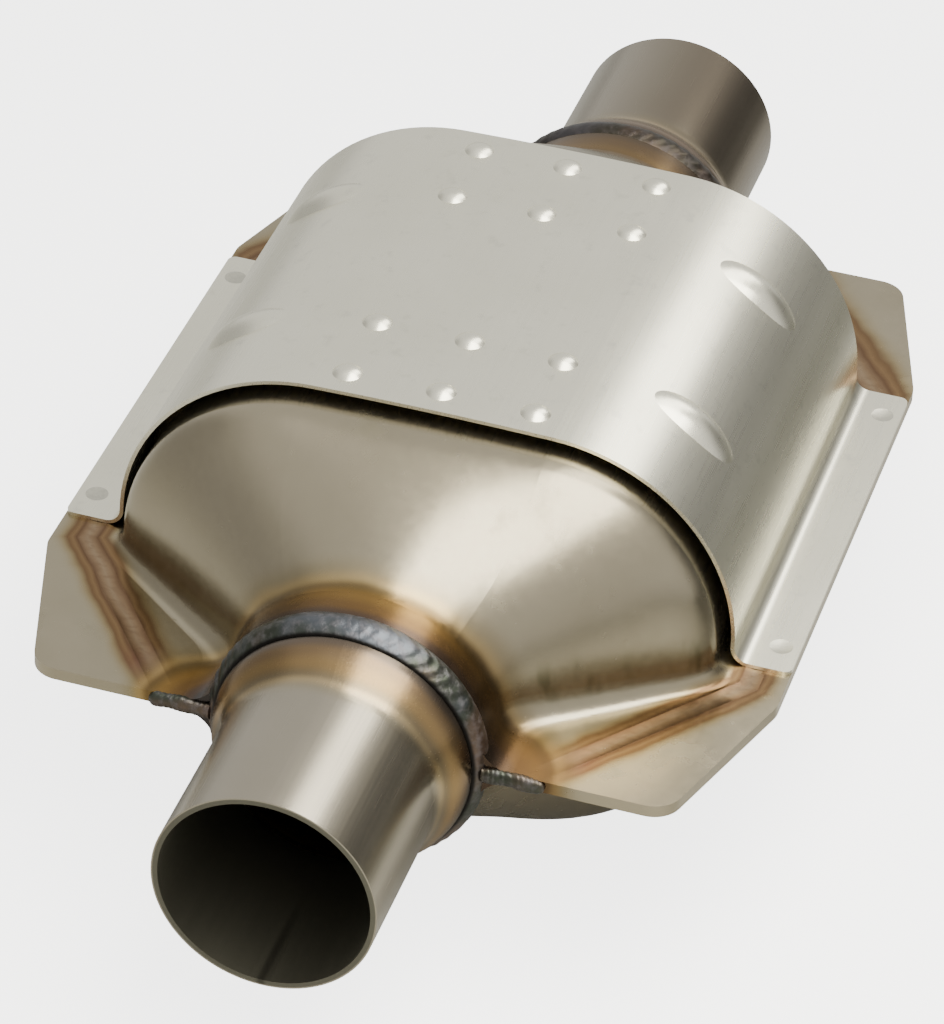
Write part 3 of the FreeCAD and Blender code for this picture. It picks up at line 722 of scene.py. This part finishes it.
def edge_bead(name, shell_end, outward, side, seed):
    """Bead along a flange end: a round section that swells and shrinks with the torch's steps.

    The radius is a rod's, plus a saw wave for each step of the torch and a slow wave, and falls to
    nothing at the tip as a circle does. The outward half is squashed, so that the bead sits low.
    """
    rng = np.random.default_rng(seed)
    share = np.linspace(0, 1, 90)[:, None]
    angle = np.linspace(0, 2 * math.pi, 40, endpoint=False)[None, :]
    length = EDGE_TO - EDGE_FROM
    s = share * length
    tip = np.sqrt(np.clip(1 - np.clip((s - (length - EDGE_TIP)) / EDGE_TIP, 0, 1) ** 2, 0, 1))
    phase = s / EDGE_STEP + 0.35 * np.cos(angle) + 0.3 * np.sin(s * 0.8 + rng.uniform(0, 6.28))
    tooth = phase - np.floor(phase)
    ripple = np.where(tooth < 0.7, tooth / 0.7, (1 - tooth) / 0.3)
    radius = (EDGE_R + 0.12 * ripple + 0.12 * np.sin(s * 0.9 + rng.uniform(0, 6.28))) * tip
    drop = 0.15 * np.sin(s * 0.5 + rng.uniform(0, 6.28))
    bulge = np.where(outward * np.cos(angle) > 0, EDGE_SQUASH, 1.0)
    x = shell_end + outward * EDGE_OUT + radius * np.cos(angle) * bulge
    y = side * (EDGE_FROM + s) + 0 * angle
    z = drop + radius * np.sin(angle)
    grid = np.stack([x, y, z], axis=-1) * MM
    if side > 0:
        grid = grid[:, ::-1]
    ends = np.stack([grid[0].mean(axis=0), grid[-1].mean(axis=0)])
    return grid_mesh(name, grid[:-1], ends=ends)


for end, shell_end, outward in (("inlet", MIDDLE - SHELL_HALF, -1), ("outlet", MIDDLE + SHELL_HALF, 1)):
    for side_name, side in (("left", 1), ("right", -1)):
        bead = edge_bead(f"{end}_{side_name}_edge_bead", shell_end, outward, side, 11 + side + 3 * outward)
        bead.data.materials.append(weld_metal)
        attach(bead, "root")
        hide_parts(f"{end}_{side_name}_edge_weld")


# Heat shield. A cover pressed from 0.9 mm aluminised sheet, matt silver, with a faint rolled grain
# along it. Dimples and ribs stiffen it, and its flanges are spot welded to the upper shell's.

SILVER = (243, 240, 222)
SILVER_BLOTCH = (228, 225, 206)
CLOUD = (178, 178, 168)


def shield_material():
    """Silver with a faint cloud, and grain lines drawn out along X."""
    material, tree, shader, point = new_material("Aluminised sheet")
    grain = placed(tree, grain_group, {"Point": point, "Grain": (0.05, 1.6, 1.6)})
    cloud = noise(tree, point, 0.22, 5.0, 0.6)
    base = mix(tree, grain["Blotches"], colour(*SILVER), colour(*SILVER_BLOTCH))
    base = mix(tree, fade(tree, cloud, 0.55, 0.75, 0.0, 0.25), base, colour(*CLOUD))
    roughness = calc(tree, "ADD", 0.25, calc(tree, "MULTIPLY", grain["Lines"], 0.06))
    feed(tree, shader, {"Base Color": base, "Metallic": 1.0, "Roughness": roughness,
                        "Normal": bump(tree, grain["Height"], 1.0, 0.3)})
    return material


dress(["heat_shield"], shield_material())


# Spot welds. Four slugs fused through the shield's flange by round electrodes, each a dished disc
# a little duller than the sheet round it.

SPOT = (214, 212, 198)
SPOT_SCALE = (176, 174, 160)


def spot_material():
    """Two greys in a fine scale, which is also the relief."""
    material, tree, shader, point = new_material("Spot weld face")
    scale = noise(tree, point, 1.1, 4.0, 0.6)
    base = mix(tree, scale, colour(*SPOT), colour(*SPOT_SCALE))
    feed(tree, shader, {"Base Color": base, "Metallic": 1.0, "Roughness": 0.38,
                        "Normal": bump(tree, scale, 0.08)})
    return material


dress(["front_left_spot_weld", "front_right_spot_weld", "rear_left_spot_weld", "rear_right_spot_weld"],
      spot_material())


# Floor, light and camera. A pale floor under the lower shell, a soft studio sky, two light panels
# above the right shoulder, and the camera where the photograph was taken from.

FLOOR_SIZE = 6.0  # metres, like the other sizes of this section
PANEL_HEIGHT = 0.27
PANEL_LIGHT = (1.0, 0.97, 0.88)
SKY_LIGHT = (1.0, 0.99, 0.96, 1.0)
FLOOR_GLOW = (1.0, 1.0, 0.99, 1.0)
FLOOR_SEEN = (0.60, 0.60, 0.59, 1.0)
# Floor colours as reflections see them, which is painted shade: darker on the right and darkest in a corner.
FLOOR_SHADE_RIGHT = (0.45, 0.45, 0.43, 1.0)
FLOOR_SHADE_LEFT = (0.57, 0.57, 0.55, 1.0)
FLOOR_SHADE_CORNER = (0.13, 0.13, 0.12, 1.0)
BLACK = (0.0, 0.0, 0.0, 1.0)
EYE = (-0.79296, -0.25937, 0.71321)


def floor_sheet(z):
    """Flat square grid at one height, with its middle under the converter."""
    half = FLOOR_SIZE / 2
    share = np.linspace(-half, half, 3)
    across, along = np.meshgrid(share, share, indexing="ij")
    grid = np.stack([across + MIDDLE * MM, along, np.full_like(across, z)], axis=-1)
    return grid_mesh("floor", grid, columns_closed=False)


floor = floor_sheet(cad_box[0][2])
floor_paper, tree, shader, point = new_material("Pale paper")
seen = add(tree, "ShaderNodeLightPath").outputs["Is Camera Ray"]
place = add(tree, "ShaderNodeSeparateXYZ", {0: point}).outputs
# Painted shade: reflections see a greyer floor than the camera does, darker towards -Y and darkest in a
# patch beside the converter's right side.
dim_corner = calc(tree, "MULTIPLY", fade(tree, place["X"], -60.0, 170.0),
                  fade(tree, place["Y"], -115.0, -165.0))
dim_corner = calc(tree, "MULTIPLY", dim_corner, fade(tree, place["X"], 450.0, 900.0, 1.0, 0.4))
reflected_shade = mix(tree, fade(tree, place["Y"], 80.0, 150.0), FLOOR_SHADE_RIGHT, FLOOR_SHADE_LEFT)
reflected_shade = mix(tree, dim_corner, reflected_shade, FLOOR_SHADE_CORNER)
feed(tree, shader, {"Base Color": mix(tree, seen, reflected_shade, FLOOR_SEEN), "Roughness": 1.0,
                    "Specular IOR Level": 0.0, "Emission Strength": 3.6,
                    "Emission Color": mix(tree, seen, BLACK, FLOOR_GLOW)})
floor.data.materials.append(floor_paper)

world = bpy.data.worlds.new("Studio")
world.use_nodes = True
bpy.context.scene.world = world
sky = world.node_tree
direction = add(sky, "ShaderNodeTexCoord").outputs["Generated"]
heading = add(sky, "ShaderNodeSeparateXYZ", {0: direction}).outputs
to_the_right = fade(sky, heading["Y"], -0.25, -0.60, 0.0, 1.0)
near_horizon = fade(sky, heading["Z"], 0.25, 0.70, 1.0, 0.0)
dim_right = calc(sky, "MULTIPLY", to_the_right, near_horizon)
dim_right = calc(sky, "MULTIPLY", dim_right, fade(sky, heading["X"], -0.2, 0.7, 0.0, 0.78))
dim_left = fade(sky, heading["Y"], 0.65, 0.90, 0.0, 0.45)
overhead = fade(sky, heading["Z"], 0.82, 0.97, 0.95, 1.25)
level = calc(sky, "SUBTRACT", calc(sky, "SUBTRACT", overhead, dim_right), dim_left)
sky.links.new(level, sky.nodes["Background"].inputs["Strength"])
sky.nodes["Background"].inputs["Color"].default_value = SKY_LIGHT


def panel(name, middle, width, depth, turned, power):
    """Soft light panel that faces down: where its middle is, its sides, its turn in plan and its power."""
    lamp = bpy.data.lights.new(name, "AREA")
    lamp.shape = "RECTANGLE"
    lamp.size = width
    lamp.size_y = depth
    lamp.energy = power
    lamp.color = PANEL_LIGHT
    holder = bpy.data.objects.new(name, lamp)
    holder.location = middle
    holder.rotation_euler = (0.0, 0.0, math.radians(turned))
    holder.visible_camera = False
    bpy.context.scene.collection.objects.link(holder)


panel("near_panel", (-0.02, -0.113, PANEL_HEIGHT), 0.46, 0.205, 0.0, 2.5)
panel("far_panel", (0.41, -0.135, PANEL_HEIGHT), 0.40, 0.12, -18.0, 0.80)

# Lens, eye and axes are those that fit the rims, flange corners and dimples in the photograph.
lens = bpy.data.cameras.new("photo_camera")
lens.sensor_fit = "VERTICAL"
lens.sensor_height = 36.0
lens.lens = 181.44
lens.clip_start = 0.05
camera = bpy.data.objects.new("photo_camera", lens)
right = Vector((0.29683, -0.95386, 0.0452))
down = Vector((-0.5536, -0.21045, -0.80575))
ahead = Vector((0.77809, 0.21415, -0.59053))
turn = Matrix((right, -down, -ahead)).transposed()
camera.matrix_world = Matrix.Translation(EYE) @ turn.to_4x4()
bpy.context.scene.collection.objects.link(camera)
bpy.context.scene.camera = camera
